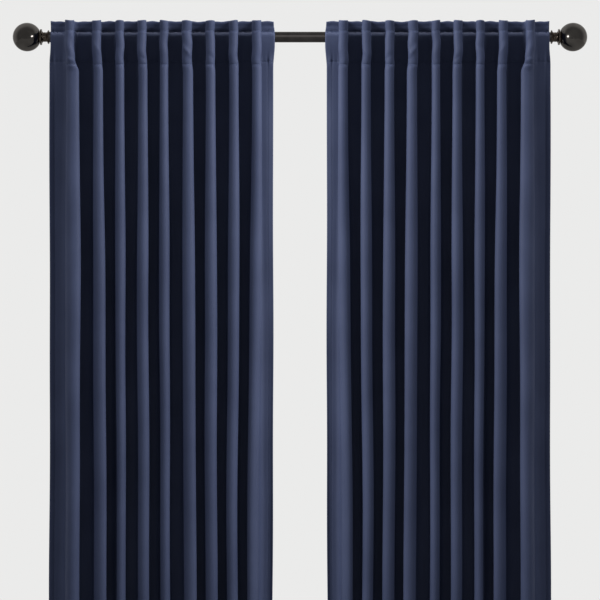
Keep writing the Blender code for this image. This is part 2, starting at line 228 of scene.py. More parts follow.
def noise(tree, place, scale, detail=2.0, roughness=0.5):
    """Noise on a place socket."""
    made = add_node(tree, "ShaderNodeTexNoise", Scale=scale, Detail=detail, Roughness=roughness)
    tree.links.new(place, made.inputs["Vector"])
    return made.outputs["Fac"]


# %% Cloth material
def cloth_material(name, dark, light, roughness, sheen, thread=0.0005):
    """Woven cloth: warp and weft as crossed waves, slubs as stretched noise, soft patches of dye."""
    made, tree, shader = new_material(name, light, roughness)
    shader.inputs["Sheen Weight"].default_value = sheen
    shader.inputs["Sheen Roughness"].default_value = 0.4
    shader.inputs["Sheen Tint"].default_value = (0.6, 0.7, 1.0, 1.0)
    shader.inputs["Specular IOR Level"].default_value = 0.18
    uv = add_node(tree, "ShaderNodeUVMap", uv_map="cloth").outputs["UV"]
    threads = []
    for direction in "XY":
        wave = add_node(tree, "ShaderNodeTexWave", bands_direction=direction, Scale=0.314 / thread)
        wave.inputs["Distortion"].default_value = 0.6
        tree.links.new(uv, wave.inputs["Vector"])
        threads.append(wave.outputs["Fac"])
    weave = multiply_add(tree, threads[0], threads[1], 0.0)
    lengthwise = add_node(tree, "ShaderNodeMapping", Scale=(380.0, 9.0, 1.0))
    tree.links.new(uv, lengthwise.inputs["Vector"])
    slub = noise(tree, lengthwise.outputs["Vector"], 1.0, 3.0, 0.6)
    patch = noise(tree, uv, 7.0)
    shade = multiply_add(tree, weave, 0.22, multiply_add(tree, slub, 0.5, patch))
    tint(tree, shader, stretch(tree, shade, 0.55, 1.05), dark, light)
    gloss = stretch(tree, slub, 0.3, 0.7, roughness - 0.06, roughness + 0.06)
    tree.links.new(gloss, shader.inputs["Roughness"])
    bump(tree, shader, multiply_add(tree, slub, 0.6, weave), 0.3, 0.00018)
    return made


FACE_CLOTH = cloth_material("navy_sateen", (0.0240, 0.0320, 0.0680), (0.0330, 0.0430, 0.0870), 0.66, 0.015)
BAND_CLOTH = cloth_material("navy_band_cloth", (0.0230, 0.0305, 0.0640), (0.0310, 0.0400, 0.0800), 0.74, 0.0)
TAB_CLOTH = cloth_material("navy_tab_tape", (0.0210, 0.0280, 0.0600), (0.0300, 0.0390, 0.0780), 0.74, 0.0,
                           thread=0.0011)


def thread_material():
    """Sewing thread: twisted plies as slanting bands, a touch lighter than the cloth."""
    made, tree, shader = new_material("navy_thread", (0.034, 0.044, 0.090), 0.5)
    place = add_node(tree, "ShaderNodeTexCoord").outputs["Object"]
    twist = add_node(tree, "ShaderNodeTexWave", bands_direction="DIAGONAL", Scale=900.0)
    tree.links.new(place, twist.inputs["Vector"])
    tint(tree, shader, twist.outputs["Fac"], (0.026, 0.034, 0.072), (0.040, 0.052, 0.104))
    return made


THREAD = thread_material()

# %% [markdown]
# The metal is a near-black bronze. Paint that is sprayed on and baked has a fine orange peel, faint
# clouds in its colour and gloss, and it rubs through to a warmer brown at its edges. The Geometry
# node's Pointiness would find edges on a fine mesh only, so the clouds carry the wear instead.

# %% Metal materials
def metal(name, dark, light, roughness, metallic, coat, cloud=40.0, peel=900.0, rise=0.00015):
    """Baked bronze paint or plating: clouds in colour and gloss over an orange-peel bump."""
    made, tree, shader = new_material(name, light, roughness, metallic)
    shader.inputs["Specular Tint"].default_value = (0.72, 0.71, 0.70, 1)
    shader.inputs["Coat Weight"].default_value = coat
    shader.inputs["Coat Roughness"].default_value = 0.12
    place = add_node(tree, "ShaderNodeTexCoord").outputs["Object"]
    clouds = noise(tree, place, cloud, 4.0, 0.55)
    tint(tree, shader, stretch(tree, clouds, 0.35, 0.65), dark, light)
    gloss = stretch(tree, clouds, 0.3, 0.7, roughness * 0.85, roughness * 1.2)
    tree.links.new(gloss, shader.inputs["Roughness"])
    bump(tree, shader, noise(tree, place, peel), 0.08, rise)
    return made


ROD_PAINT = metal("rod_bronze", (0.050, 0.046, 0.046), (0.075, 0.069, 0.067), 0.38, 0.9, 0.0)
BALL_PAINT = metal("finial_bronze", (0.080, 0.074, 0.070), (0.118, 0.110, 0.102), 0.17, 1.0, 0.0, 30.0)
NECK_PAINT = metal("finial_neck_bronze", (0.060, 0.050, 0.042), (0.120, 0.098, 0.080), 0.24, 1.0, 0.0, 140.0)
BRACKET_PAINT = metal("bracket_bronze", (0.040, 0.036, 0.034), (0.065, 0.058, 0.054), 0.45, 0.9, 0.0, 60.0)
STEEL = metal("plated_steel", (0.33, 0.32, 0.31), (0.48, 0.47, 0.45), 0.32, 1.0, 0.0, 220.0)
PLUG_PLASTIC = metal("plug_plastic", (0.018, 0.018, 0.018), (0.03, 0.03, 0.03), 0.5, 0.0, 0.0, 90.0)


def dress(piece, skin, body=None, nodes=()):
    """Give a piece its material, the body it rides on and the CAD nodes it stands for."""
    piece.data.materials.clear()
    piece.data.materials.append(skin)
    if nodes:
        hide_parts(*nodes)
    if body:
        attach(piece, body)
    return piece


# %% [markdown]
# ## The cloth's plan
#
# Seen from above, a hung curtain is a meander: it lies flat against the rod at each tab and swings
# forward between tabs. A river's bend has the same shape, and both follow a simple rule. Walk along the
# cloth, and the direction you walk in swings like a sine. Adding up small steps in that direction gives
# the line, and its length can't change, just as cloth can't stretch. How far the direction swings
# follows from how close together the tabs are. A little of the sine's third harmonic squares the crest,
# and a little of another wave turns the crest aside without moving the tabs.

# %% Share the cloth out between the folds
FOLDS = len(TAB_X) - 1
OUTER_CLOTH = TAB_X[0] - OUTER_X
LEADING_CLOTH = LEADING_X - TAB_X[-1]
fold_share = np.array([1.16, 1.00, 0.93, 1.00, 0.95, 1.05, 1.03, 1.00, 1.00])
fold_cloth = fold_share / fold_share.sum() * (FLAT_WIDTH - OUTER_CLOTH - LEADING_CLOTH)
TAB_S = OUTER_CLOTH + np.concatenate([[0.0], np.cumsum(fold_cloth)])
DENSE_S = np.linspace(0.0, FLAT_WIDTH, 2201)
STRIDE = DENSE_S[1]
FOLD_OF = np.clip(np.searchsorted(TAB_S, DENSE_S, side="right") - 1, 0, FOLDS - 1)
BETWEEN_TABS = (DENSE_S > TAB_S[0]) & (DENSE_S < TAB_S[-1])
PHASE = np.clip((DENSE_S - TAB_S[FOLD_OF]) / fold_cloth[FOLD_OF], 0, 1)
print("cloth in each fold", fold_cloth.round(3))


def bend(t, square):
    """Direction along one fold for t from 0 to 1: a sine, and a share of its third harmonic."""
    return np.sin(2 * np.pi * t) + square * np.sin(6 * np.pi * t)


def turn_aside(t):
    """A wave that is 1 at the crest and adds up to nothing: sine squared of half and of whole turns."""
    return np.sin(np.pi * t) ** 2 - np.sin(2 * np.pi * t) ** 2


def swing_for(ratio, square):
    """How far the direction must swing, in radians, for the fold to advance by this ratio.

    Found by halving: the mean cosine of the direction falls as the swing grows.
    """
    samples, halvings, widest = 120, 24, 2.3
    t = (np.arange(samples) + 0.5) / samples
    waves = bend(t, square[..., None])
    low = np.zeros_like(ratio)
    high = np.full_like(ratio, widest)
    for _ in range(halvings):
        tried = (low + high) / 2
        too_far = np.cos(tried[..., None] * waves).mean(-1) < ratio
        high = np.where(too_far, tried, high)
        low = np.where(too_far, low, tried)
    return (low + high) / 2


# %% [markdown]
# ## The cloth's fall
#
# Down its length the plan changes. In the header the cloth is nipped at two rows of stitching, and
# between them the rod pushes it forward. Below, the flat part at each tab rounds out, and each fold
# leans towards the middle of the window by its own amount. No two folds of a real curtain are alike,
# so the tables below give three rows of numbers, for the header, for the cloth just below it, and for
# the lower part. LEAN is how far each fold's crest stands aside, in metres, from the outer edge inwards.
# SQUARE is its share of the third harmonic, and TURNED how far it is turned aside, in radians.
# FLAP_TURNED turns the cloth beyond the first and the last tab.

# %% Shape of the cloth down its length
UPPER_STITCH = 0.0238
LOWER_STITCH = 0.1037
TOP_DROP = 0.0044               # crests of the folds stand this far below the CAD's straight top edge
SIDE_HEM = 0.0125
BOTTOM_HEM = 0.0760
CLOTH_AROUND = ROD_RADIUS + 0.0028
rng = np.random.default_rng(7)
LEAN = np.array([
    [0.0015, 0.0050, 0.0050, 0.0035, 0.0000, 0.0012, 0.0030, 0.0045, 0.0090],
    [0.0095, 0.0085, 0.0040, 0.0058, 0.0003, 0.0052, 0.0042, 0.0052, 0.0100],
    [0.0075, 0.0122, -0.0042, 0.0045, 0.0038, 0.0068, 0.0030, -0.002, -0.010],
])
SQUARE = np.array([
    [0.08, -0.04, -0.02, -0.03, 0.00, -0.10, -0.04, -0.04, -0.08],
    [-0.18, -0.06, -0.03, -0.04, 0.00, -0.10, -0.06, -0.05, -0.10],
    [-0.04, -0.12, 0.06, -0.02, 0.08, -0.10, -0.08, 0.00, 0.06],
])
TURNED = np.array([
    [0.00, 0.00, 0.05, 0.00, 0.00, 0.00, 0.00, 0.00, -0.15],
    [0.04, 0.02, 0.08, 0.00, 0.00, -0.04, -0.04, 0.00, -0.26],
    [0.18, 0.36, 0.78, 0.16, 0.04, 0.32, 0.20, 0.10, 0.05],
])
FLAP_TURNED = np.array([[0.00, 0.04], [0.02, 0.10], [0.16, 0.78]])
drift_phase = rng.uniform(0, 2 * np.pi, (4, FOLDS + 1))
ripple_phase = rng.uniform(0, 2 * np.pi, 12)
ripple_wave = rng.uniform(0.035, 0.11, 12)
ripple_tall = rng.uniform(0.35, 1.4, 12)


def at_height(table, v):
    """Read a table of header, upper and lower values, one for each fold, at distances v (rows, 1)."""
    upper = step(v, 0.090, 0.122)
    lower = step(v, 0.250, 1.300)
    return table[0] * (1 - upper) + (table[1] * (1 - lower) + table[2] * lower) * upper


def valley_depth(v):
    """Distance of the cloth in front of the rod's axis at a tab, for a distance v down the cloth.

    The heading curls forward at its top. Below the upper stitching the cloth follows a circle round
    the rod, and from the rod's level it falls back to the lower stitching and below.
    """
    heading = 0.0122 - 0.0050 * step(v, 0.001, 0.013) - 0.0010 * step(v, 0.016, UPPER_STITCH)
    above_axis = np.clip(0.0380 - v, 0, None)
    over_rod = np.sqrt(np.clip(CLOTH_AROUND ** 2 - above_axis ** 2, 0, None))
    d = np.where(v < UPPER_STITCH, heading, over_rod)
    d = d - 0.0062 * step(v, 0.046, LOWER_STITCH)
    return d - 0.0045 * step(v, 0.115, 0.700)


def fold_base(v):
    """The same for the foot of a free fold, which the rod doesn't push forward.

    The heading leans forward, the cloth swells under the upper stitching and draws in to the lower.
    """
    d = 0.0100 - 0.0060 * step(v, 0.115, 0.800)
    d = d + 0.0040 * (1 - step(v, 0.001, UPPER_STITCH)) + 0.0018 * step(v, UPPER_STITCH, UPPER_STITCH + 0.006)
    d = d - 0.0044 * step(v, 0.068, LOWER_STITCH + 0.001)
    return d + 0.0020 * step(v, LOWER_STITCH, LOWER_STITCH + 0.007)


def upper_to_hem(v):
    """Rises from 0 in the header to 1 below it."""
    return step(v, 0.100, 0.250)


def plan(v):
    """Plan of the cloth at distances v down it, on the dense line across it.

    Gives x, the distance in front of the rod's axis, and how free of the tabs each place is, each
    as (rows, places).
    """
    rows = np.asarray(v, float)[:, None]
    flat = 0.20 - 0.13 * step(rows, 0.12, 0.60)
    hang_free = step(rows, 0.10, 0.90)
    waves = np.sin(rows * 5.1 + drift_phase[0]) + 0.6 * np.sin(rows * 11.3 + drift_phase[1])
    tab_x = TAB_X + 0.0011 * hang_free * waves
    square = at_height(SQUARE, rows)
    swing = swing_for((np.diff(tab_x, axis=1) / fold_cloth - flat) / (1 - flat), square)
    t = np.clip((PHASE - flat / 2) / (1 - flat), 0, 1)
    turned_aside = at_height(TURNED, rows)[:, FOLD_OF] * turn_aside(t)
    outer, leading = np.split(at_height(FLAP_TURNED, rows), 2, axis=1)
    flap = outer * step(TAB_S[0] - DENSE_S, 0, 0.014) + leading * step(DENSE_S - TAB_S[-1], 0, 0.014)
    angle = np.where(BETWEEN_TABS, swing[:, FOLD_OF] * bend(t, square[:, FOLD_OF]) + turned_aside, flap)
    start = np.zeros((len(rows), 1))
    x = np.concatenate([start, np.cumsum((np.cos(angle[:, 1:]) + np.cos(angle[:, :-1])) / 2, 1)], 1)
    d = np.concatenate([start, np.cumsum((np.sin(angle[:, 1:]) + np.sin(angle[:, :-1])) / 2, 1)], 1)
    x, d = x * STRIDE, d * STRIDE
    tabs = np.searchsorted(DENSE_S, TAB_S)
    x += np.array([np.interp(DENSE_S, DENSE_S[tabs], row) for row in tab_x - x[:, tabs]])
    d -= np.array([np.interp(DENSE_S, DENSE_S[tabs], row) for row in d[:, tabs]])
    high = np.where(BETWEEN_TABS, d / d.max(1, keepdims=True), 0.0)
    sway = np.sin(rows * 74 + drift_phase[2])[:, FOLD_OF]
    sway = sway + 0.5 * np.sin(rows * 131 + drift_phase[3])[:, FOLD_OF]
    in_header = step(rows, 0.005, 0.035) * (1 - step(rows, 0.085, 0.125))
    x = x + (at_height(LEAN, rows)[:, FOLD_OF] + 0.0016 * in_header * sway) * high * BETWEEN_TABS
    in_pocket = 1 - step(rows, 0.060, 0.115)
    at_rod = step(rows, 0.004, 0.034) * in_pocket
    x = x + (0.0006 + 0.0030 * in_pocket) * (1 - step(DENSE_S, 0, TAB_S[0]))
    x = x + (0.0006 + 0.0012 * in_pocket + 0.0026 * at_rod) * step(DENSE_S, TAB_S[-1], FLAT_WIDTH)
    d = d + 0.0045 * (1 - step(DENSE_S, 0, 0.016)) * upper_to_hem(rows)
    d = d - 0.0022 * step(DENSE_S, FLAT_WIDTH - 0.012, FLAT_WIDTH) * upper_to_hem(rows)
    free = step(high, 0.03, 0.45)
    return x, d + valley_depth(rows) * (1 - free) + fold_base(rows) * free, free


# %% [markdown]
# Small things make cloth look like cloth. Long, low ripples run down it. Thread pulls a groove into it,
# and the cloth puckers beside the groove. Where the header was crushed, a few creases run across a
# fold. Each is a height, in metres, added to the surface.

# %% Relief of the cloth
CREASES = [
    (0, 0.56, 0.036, 0.64, 0.078, 0.0026), (0, 0.38, 0.088, 0.60, 0.098, 0.0016),
    (0, 0.47, 0.070, 0.36, 0.097, -0.0014), (1, 0.44, 0.052, 0.58, 0.080, 0.0016),
    (2, 0.42, 0.066, 0.60, 0.056, -0.0012), (5, 0.38, 0.056, 0.62, 0.090, 0.0024),
    (5, 0.42, 0.084, 0.55, 0.062, -0.0018), (6, 0.45, 0.078, 0.57, 0.093, -0.0012),
    (7, 0.42, 0.086, 0.56, 0.072, 0.0012), (3, 0.45, 0.082, 0.56, 0.094, -0.0012),
]


def ripples(s, v):
    """Slight unevenness of hung cloth: a dozen long, low waves of different widths and lengths."""
    total = np.zeros_like(s)
    for phase, wide, tall in zip(ripple_phase, ripple_wave, ripple_tall):
        total += np.sin(2 * np.pi * (s / wide + 0.25 * np.sin(2 * np.pi * v / tall + phase)) + phase)
    return 0.0009 * total / len(ripple_phase) * step(v, 0.10, 0.30)


def puckers(s, v):
    """Small gathers beside the header's stitching, strongest a few millimetres from the thread."""
    above = (v < LOWER_STITCH) * np.exp(-np.abs(v - LOWER_STITCH + 0.005) / 0.011)
    below = (v >= LOWER_STITCH) * np.exp(-(v - LOWER_STITCH) / 0.008)
    near = 0.55 * np.exp(-np.abs(v - UPPER_STITCH - 0.003) / 0.006) + above + 0.63 * below
    waves = np.sin(2 * np.pi * s / 0.0117) + 0.8 * np.sin(2 * np.pi * s / 0.0187 + 1.3)
    return 0.0011 * near * waves * (0.6 + 0.4 * np.sin(2 * np.pi * s / 0.143 + 0.5))


def grooves(s, v):
    """The line that each row of thread pulls into the cloth, with small gathers along it."""
    edge = np.minimum(s, FLAT_WIDTH - s)
    header = 0.8 * np.exp(-np.abs(v - UPPER_STITCH) / 0.0018)
    header = header + 1.5 * np.exp(-np.abs(v - LOWER_STITCH) / 0.0022)
    side = bell(edge, SIDE_HEM, 0.0016) * (0.7 + 0.3 * np.sin(2 * np.pi * v / 0.021))
    hem = bell(v, LENGTH - BOTTOM_HEM, 0.0030) * (0.7 + 0.3 * np.sin(2 * np.pi * s / 0.017))
    return -0.0012 * header - 0.0005 * side * (v > LOWER_STITCH) - 0.0006 * hem


def creases(s, v):
    """Ridges and furrows across the header: a bump round each line from one place to another."""
    total = np.zeros_like(s)
    for fold, t0, v0, t1, v1, tall in CREASES:
        s0, s1 = TAB_S[fold] + np.array([t0, t1]) * fold_cloth[fold]
        along = np.array([s1 - s0, v1 - v0])
        long = np.hypot(*along)
        along = along / long
        forward = (s - s0) * along[0] + (v - v0) * along[1]
        aside = (s - s0) * along[1] - (v - v0) * along[0]
        ends = step(forward, -0.008, 0.006) * (1 - step(forward, long - 0.006, long + 0.008))
        total += 1.35 * tall * bell(aside, 0, 0.0036) * ends
    return total


# %% Hang the cloth
def hang_points(s, v):
    """Points of the left panel at places s across and distances v down, as (rows, columns, 3)."""
    x, d, free = (np.array([np.interp(s, DENSE_S, row) for row in part]) for part in plan(v))
    across, down = np.meshgrid(s, v)
    d = d + ripples(across, down) + puckers(across, down) + grooves(across, down) + creases(across, down)
    lift = 0.0020 + 0.0015 * step(down, 0, UPPER_STITCH) + 0.0060 * step(down, UPPER_STITCH, LOWER_STITCH)
    lift = lift * (1 - 0.6 * step(down, 0.20, 1.90))
    uneven = 0.0006 * (np.sin(across * 97 + 1) + np.sin(across * 211 + 2)) * (1 - step(down, 0, UPPER_STITCH))
    z = HEADER_TOP - TOP_DROP - down + lift * (1 - free) + uneven
    return np.stack([x, ROD_Y - d, z], -1)


def hang_frames(s, v):
    """Points of the hung cloth, and at each its direction across, down and out of the front face."""
    small = 0.0008
    points = hang_points(s, v)
    along = hang_points(s + small, v) - hang_points(s - small, v)
    below = hang_points(s, v + small) - hang_points(s, v - small)
    along /= np.linalg.norm(along, axis=-1, keepdims=True)
    below /= np.linalg.norm(below, axis=-1, keepdims=True)
    out = np.cross(below, along)
    return points, along, below, out / np.linalg.norm(out, axis=-1, keepdims=True)


def hang(s, v, aways):
    """The hung surface moved off the cloth's middle by each distance, forward where it is positive."""
    points, _, _, out = hang_frames(np.asarray(s, float), np.asarray(v, float))
    return [points + away * out for away in aways]


check = hang(DENSE_S[::4], np.array([0.05, 1.0]), [0.0])[0]
print("measured flat width", np.linalg.norm(np.diff(check, axis=1), axis=-1).sum(1).round(3))

# %% [markdown]
# ## Layers of cloth
#
# A piece of cloth has two faces and an edge all round. A layer takes a rectangle of the flat panel,
# puts one copy of its grid just in front of the middle surface and another just behind, and closes the
# edge between them. The face cloth, the band behind the header and the turned hems are all layers.

# %% Make a layer
CLOTH = 0.0009
AIR = 0.0003


def layer_arrays(side, s, v, front, back):
    """Points, quads and UV of one closed layer between two distances from the hung surface."""
    rows, columns = len(v), len(s)
    count = rows * columns
    points = np.concatenate([p.reshape(-1, 3) for p in hang(s, v, [front, back])])
    quads = grid_quads(rows, columns)
    top = np.arange(columns)
    left = np.arange(rows) * columns
    rim = np.concatenate([top, left[1:] + columns - 1, top[::-1][1:] + count - columns, left[::-1][1:]])
    edge = np.stack([rim[:-1], rim[1:], rim[1:] + count, rim[:-1] + count], -1)
    quads = np.concatenate([quads, quads[:, ::-1] + count, edge])
    uv = np.stack(np.meshgrid(s, -np.asarray(v)), -1).reshape(-1, 2)
    if side > 0:
        points = points * (-1, 1, 1)
        quads = quads[:, ::-1]
    return points, quads, np.concatenate([uv, uv])


def join_arrays(parts):
    """Put several sets of points, quads and UV end to end."""
    starts = np.cumsum([0] + [len(p[0]) for p in parts[:-1]])
    points, uv = (np.concatenate([p[k] for p in parts]) for k in (0, 2))
    return points, np.concatenate([p[1] + start for p, start in zip(parts, starts)]), uv


def drawn(piece):
    """Bake the piece's transform into its mesh."""
    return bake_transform(piece)


def spread(*stops):
    """Increasing places: from each stop to the next by about the spacing given with it."""
    places = []
    for (low, spacing), (high, _) in zip(stops[:-1], stops[1:]):
        places.append(np.linspace(low, high, max(int(round((high - low) / spacing)), 1), endpoint=False))
    return np.concatenate([*places, [stops[-1][0]]])


panel_rows = spread((0, 0.0025), (0.020, 0.0013), (UPPER_STITCH, 0.0010), (0.030, 0.0022), (0.046, 0.0048),
                    (0.085, 0.0027), (0.098, 0.0015), (LOWER_STITCH, 0.0014), (0.1100, 0.0045),
                    (0.125, 0.012), (0.20, 0.030), (LENGTH - 0.082, 0.0022), (LENGTH - 0.070, 0.020),
                    (LENGTH, 0))
panel_columns = spread((0, 0.003), (0.009, 0.0012), (0.016, 0.0037), (FLAT_WIDTH - 0.016, 0.0012),
                       (FLAT_WIDTH - 0.009, 0.003), (FLAT_WIDTH, 0))
print("panel grid", len(panel_rows), "by", len(panel_columns))

for word, way in SIDES.items():
    points, quads, uv = layer_arrays(way, panel_columns, panel_rows, CLOTH / 2, -CLOTH / 2)
    face = put_mesh(word + "_panel_face", points, quads, uv)
    dress(face, FACE_CLOTH, nodes=[word + "_panel_cloth"])
    drawn(face)
    print(face.name, len(quads) * 2, "triangles")

# %% [markdown]
# ## Band and hems
#
# Behind the header a band is sewn on along both rows of stitching, and the tabs are sewn to it. The
# sides and the bottom are turned in and sewn down, and the top is folded over behind the heading.

# %% Band
BAND_THICK = 0.0009
BAND_FRONT = -CLOTH / 2 - AIR
BAND_TOP, BAND_LOW = UPPER_STITCH - 0.0022, LOWER_STITCH + 0.0055
band_rows = spread((BAND_TOP, 0.0011), (UPPER_STITCH, 0.0011), (0.031, 0.0025), (0.046, 0.006),
                   (0.090, 0.0025), (LOWER_STITCH, 0.0015), (BAND_LOW, 0))
band_columns = spread((0.0006, 0.0035), (FLAT_WIDTH - 0.0006, 0))
bands = {}
for word, way in SIDES.items():
    arrays = layer_arrays(way, band_columns, band_rows, BAND_FRONT, BAND_FRONT - BAND_THICK)
    band = put_mesh(word + "_header_band", *arrays)
    dress(band, BAND_CLOTH, nodes=[word + "_pocket_band"])
    drawn(band)
    bands[word] = band

# %% [markdown]
# A hem is the cloth's own edge, turned in and sewn down, so it is the face cloth once more, just behind
# itself. Two narrow strips, the deep one at the bottom and the one behind the heading make one piece.

# %% Hems
hem_front = -CLOTH / 2 - 0.0001
hem_back = hem_front - CLOTH
for word, way in SIDES.items():
    side_rows = spread((BAND_LOW + 0.0015, 0.020), (0.20, 0.026), (LENGTH - 0.0006, 0))
    parts = []
    for low in (0.0006, FLAT_WIDTH - 0.0006 - SIDE_HEM - 0.0015):
        places = spread((low, 0.0035), (low + SIDE_HEM + 0.0015, 0))
        parts.append(layer_arrays(way, places, side_rows, hem_front, hem_back))
    inner = spread((SIDE_HEM + 0.0030, 0.005), (FLAT_WIDTH - SIDE_HEM - 0.0030, 0))
    bottom_rows = spread((LENGTH - BOTTOM_HEM - 0.0020, 0.013), (LENGTH - 0.0006, 0))
    parts.append(layer_arrays(way, inner, bottom_rows, hem_front, hem_back))
    top_rows = spread((0.0005, 0.0045), (BAND_TOP - 0.0012, 0))
    parts.append(layer_arrays(way, band_columns, top_rows, hem_front, hem_back))
    hem = put_mesh(word + "_turned_hems", *join_arrays(parts))
    dress(hem, FACE_CLOTH)
    drawn(hem)
    print(hem.name, len(hem.data.polygons) * 2, "triangles")

# %% [markdown]
# ## Stitching
#
# A lockstitch shows as a row of short, slightly sunken lengths of thread. Each is a small capsule laid
# on the surface, with its frame taken from the hung cloth there, so the rows follow every fold.

# %% Make rows of stitches
STITCH_PITCH = 0.0036
STITCH_LONG = 0.0027
THREAD_RADIUS = 0.00028
ROUND_THREAD = 5
SAME_POINT = 1e-6               # points nearer than this are one


def unit_stitch():
    """A capsule of five sides along the first axis, as (length, out, aside) shares of its size."""
    stations = np.array([[-0.5, 0.0], [-0.42, 0.8], [0.0, 1.0], [0.42, 0.8], [0.5, 0.0]])
    turn = np.arange(ROUND_THREAD) / ROUND_THREAD * 2 * np.pi
    along = np.repeat(stations[:, 0], ROUND_THREAD)
    wide = np.repeat(stations[:, 1], ROUND_THREAD)
    count = len(stations)
    points = np.stack([along, wide * np.tile(np.cos(turn), count), wide * np.tile(np.sin(turn), count)], -1)
    return points, grid_quads(count, ROUND_THREAD, wrap_columns=True)


def stitch_row(side, s, v, away, down):
    """Capsules at the places of one row, whose thread runs down the cloth or across it."""
    points, along, below, out = (a.reshape(-1, 3) for a in hang_frames(s, v))
    shape, quads = unit_stitch()
    run, aside = (below, along) if down else (along, below)
    centre = points + away * out
    made = centre[:, None] + shape[:, :1] * STITCH_LONG * run[:, None]
    made = made + THREAD_RADIUS * (shape[:, 1:2] * out[:, None] + shape[:, 2:] * aside[:, None])
    made = made.reshape(-1, 3)
    all_quads = (quads[None] + (np.arange(len(centre)) * len(shape))[:, None, None]).reshape(-1, 4)
    if down:
        all_quads = all_quads[:, ::-1]
    if side > 0:
        made = made * (-1, 1, 1)
        all_quads = all_quads[:, ::-1]
    return made, all_quads, made[:, [0, 2]]


def face_outwards(piece, merge=0.0):
    """Turn every face outwards; merge, in metres, first joins points as near as that, as at a pole."""
    work = bmesh.new()
    work.from_mesh(piece.data)
    if merge:
        bmesh.ops.remove_doubles(work, verts=work.verts, dist=merge)
    bmesh.ops.recalc_face_normals(work, faces=work.faces)
    work.to_mesh(piece.data)
    work.free()
    return piece


front_away = CLOTH / 2 + 0.00005
band_away = BAND_FRONT - BAND_THICK - 0.00005
hem_away = hem_back - 0.00005
across = np.arange(0.004, FLAT_WIDTH - 0.004, STITCH_PITCH)
downward = np.arange(LOWER_STITCH + 0.010, LENGTH - 0.004, STITCH_PITCH)
for word, way in SIDES.items():
    parts = []
    for row in (UPPER_STITCH, LOWER_STITCH):
        for away in (front_away, band_away):
            parts.append(stitch_row(way, across, np.array([row]), away, False))
    header_thread = face_outwards(put_mesh(word + "_header_stitching", *join_arrays(parts)), SAME_POINT)
    parts = []
    for away in (front_away, hem_away):
        parts.append(stitch_row(way, across, np.array([LENGTH - BOTTOM_HEM]), away, False))
        for place in (SIDE_HEM, FLAT_WIDTH - SIDE_HEM):
            parts.append(stitch_row(way, np.array([place]), downward, away, True))
    hem_thread = face_outwards(put_mesh(word + "_hem_stitching", *join_arrays(parts)), SAME_POINT)
    for piece in (header_thread, hem_thread):
        dress(piece, THREAD)
        drawn(piece)
        print(piece.name, len(piece.data.polygons), "faces")
    face = bpy.data.objects[word + "_panel_face"]

# %% [markdown]
# ## Tabs
#
# A back tab is a tape sewn to the band at both ends. It leaves the upper row of stitching, passes over
# the rod, down its back and forward to the lower row. Its path is a straight, an arc round the rod and
# a straight that leaves the arc without a kink. Its section is a flat strip with rounded edges.

# %% Make the tabs
TAB_THICK = 0.0011
TAB_AROUND = ROD_RADIUS + 0.0005 + TAB_THICK / 2
TAB_TOP = np.array([0.0038, 0.0152])       # in front of the axis and above it
TAB_END = np.array([0.0052, -0.0615])


def tab_path():
    """Middle line of a tab as (distance in front of the axis, height): straight, arc, straight."""
    reach = np.hypot(*TAB_END)
    end = math.atan2(TAB_END[1], TAB_END[0]) + 2 * np.pi
    leave = end - math.acos(TAB_AROUND / reach)
    reach_top = np.hypot(*TAB_TOP)
    join = math.atan2(TAB_TOP[1], TAB_TOP[0]) + math.acos(TAB_AROUND / reach_top)
    turn = np.linspace(join, leave, 25)
    around = TAB_AROUND * np.stack([np.cos(turn), np.sin(turn)], -1)
    t = np.linspace(0, 1, 6)[:-1, None]
    first = TAB_TOP + (around[0] - TAB_TOP) * t
    t = np.linspace(0, 1, 15)[1:, None]
    last = around[-1] + (TAB_END - around[-1]) * t
    return np.concatenate([first, around, last])


def tab_section():
    """A flat loop: half circles at both edges and straight sides, as (across, out)."""
    half = TAB_WIDTH / 2 - TAB_THICK / 2
    turn = np.linspace(-np.pi / 2, np.pi / 2, 5)
    right = np.stack([half + TAB_THICK / 2 * np.cos(turn), TAB_THICK / 2 * np.sin(turn)], -1)
    sides = np.linspace(half, -half, 8)[1:-1]
    front = np.stack([sides, np.full(6, TAB_THICK / 2)], -1)
    return np.concatenate([right, front, -right, -front])


def tab_arrays(x, seed):
    """Points, quads and UV of one tab: its section carried along its path, with a slight curl."""
    line = tab_path()
    run = np.gradient(line, axis=0)
    run /= np.linalg.norm(run, axis=1, keepdims=True)
    out = np.stack([run[:, 1], -run[:, 0]], -1)
    section = tab_section()
    along = np.concatenate([[0], np.cumsum(np.linalg.norm(np.diff(line, axis=0), axis=1))])
    wave = 0.0002 * np.sin(along[:, None] * 190 + seed + section[:, 0] * 120)
    wide = section[:, 0] + 0.0004 * np.sin(along[:, None] * 60 + seed)
    away = section[:, 1] + wave * step(along[:, None], 0.0, 0.01)
    d = line[:, :1] + away * out[:, :1]
    z = line[:, 1:] + away * out[:, 1:]
    points = np.stack([x + wide, ROD_Y - d, z], -1).reshape(-1, 3)
    quads = grid_quads(len(line), len(section), wrap_columns=True)
    around = np.concatenate([[0], np.cumsum(np.linalg.norm(np.diff(section, axis=0), axis=1))])
    uv = np.stack(np.meshgrid(around, along), -1).reshape(-1, 2)
    caps = np.array([[k, k + 1, len(section) - 2 - k, len(section) - 1 - k]
                     for k in range(len(section) // 2 - 1)])
    shift = (len(line) - 1) * len(section)
    return points, np.concatenate([quads, caps, caps[:, ::-1] + shift]), uv


for word, way in SIDES.items():
    for k, x in enumerate(TAB_X, start=1):
        tab = face_outwards(put_mesh(f"{word}_back_tab_{k:02d}", *tab_arrays(-way * x, 1.7 * k)))
        body = word + "_panel" if k < 3 else f"{word}_sliding_tab_{k:02d}"
        body = word + "_leading_tab" if k == len(TAB_X) else body
        dress(tab, TAB_CLOTH, body, [f"{word}_tab_{k:02d}"])
        tab.data.set_sharp_from_angle(angle=math.radians(50))

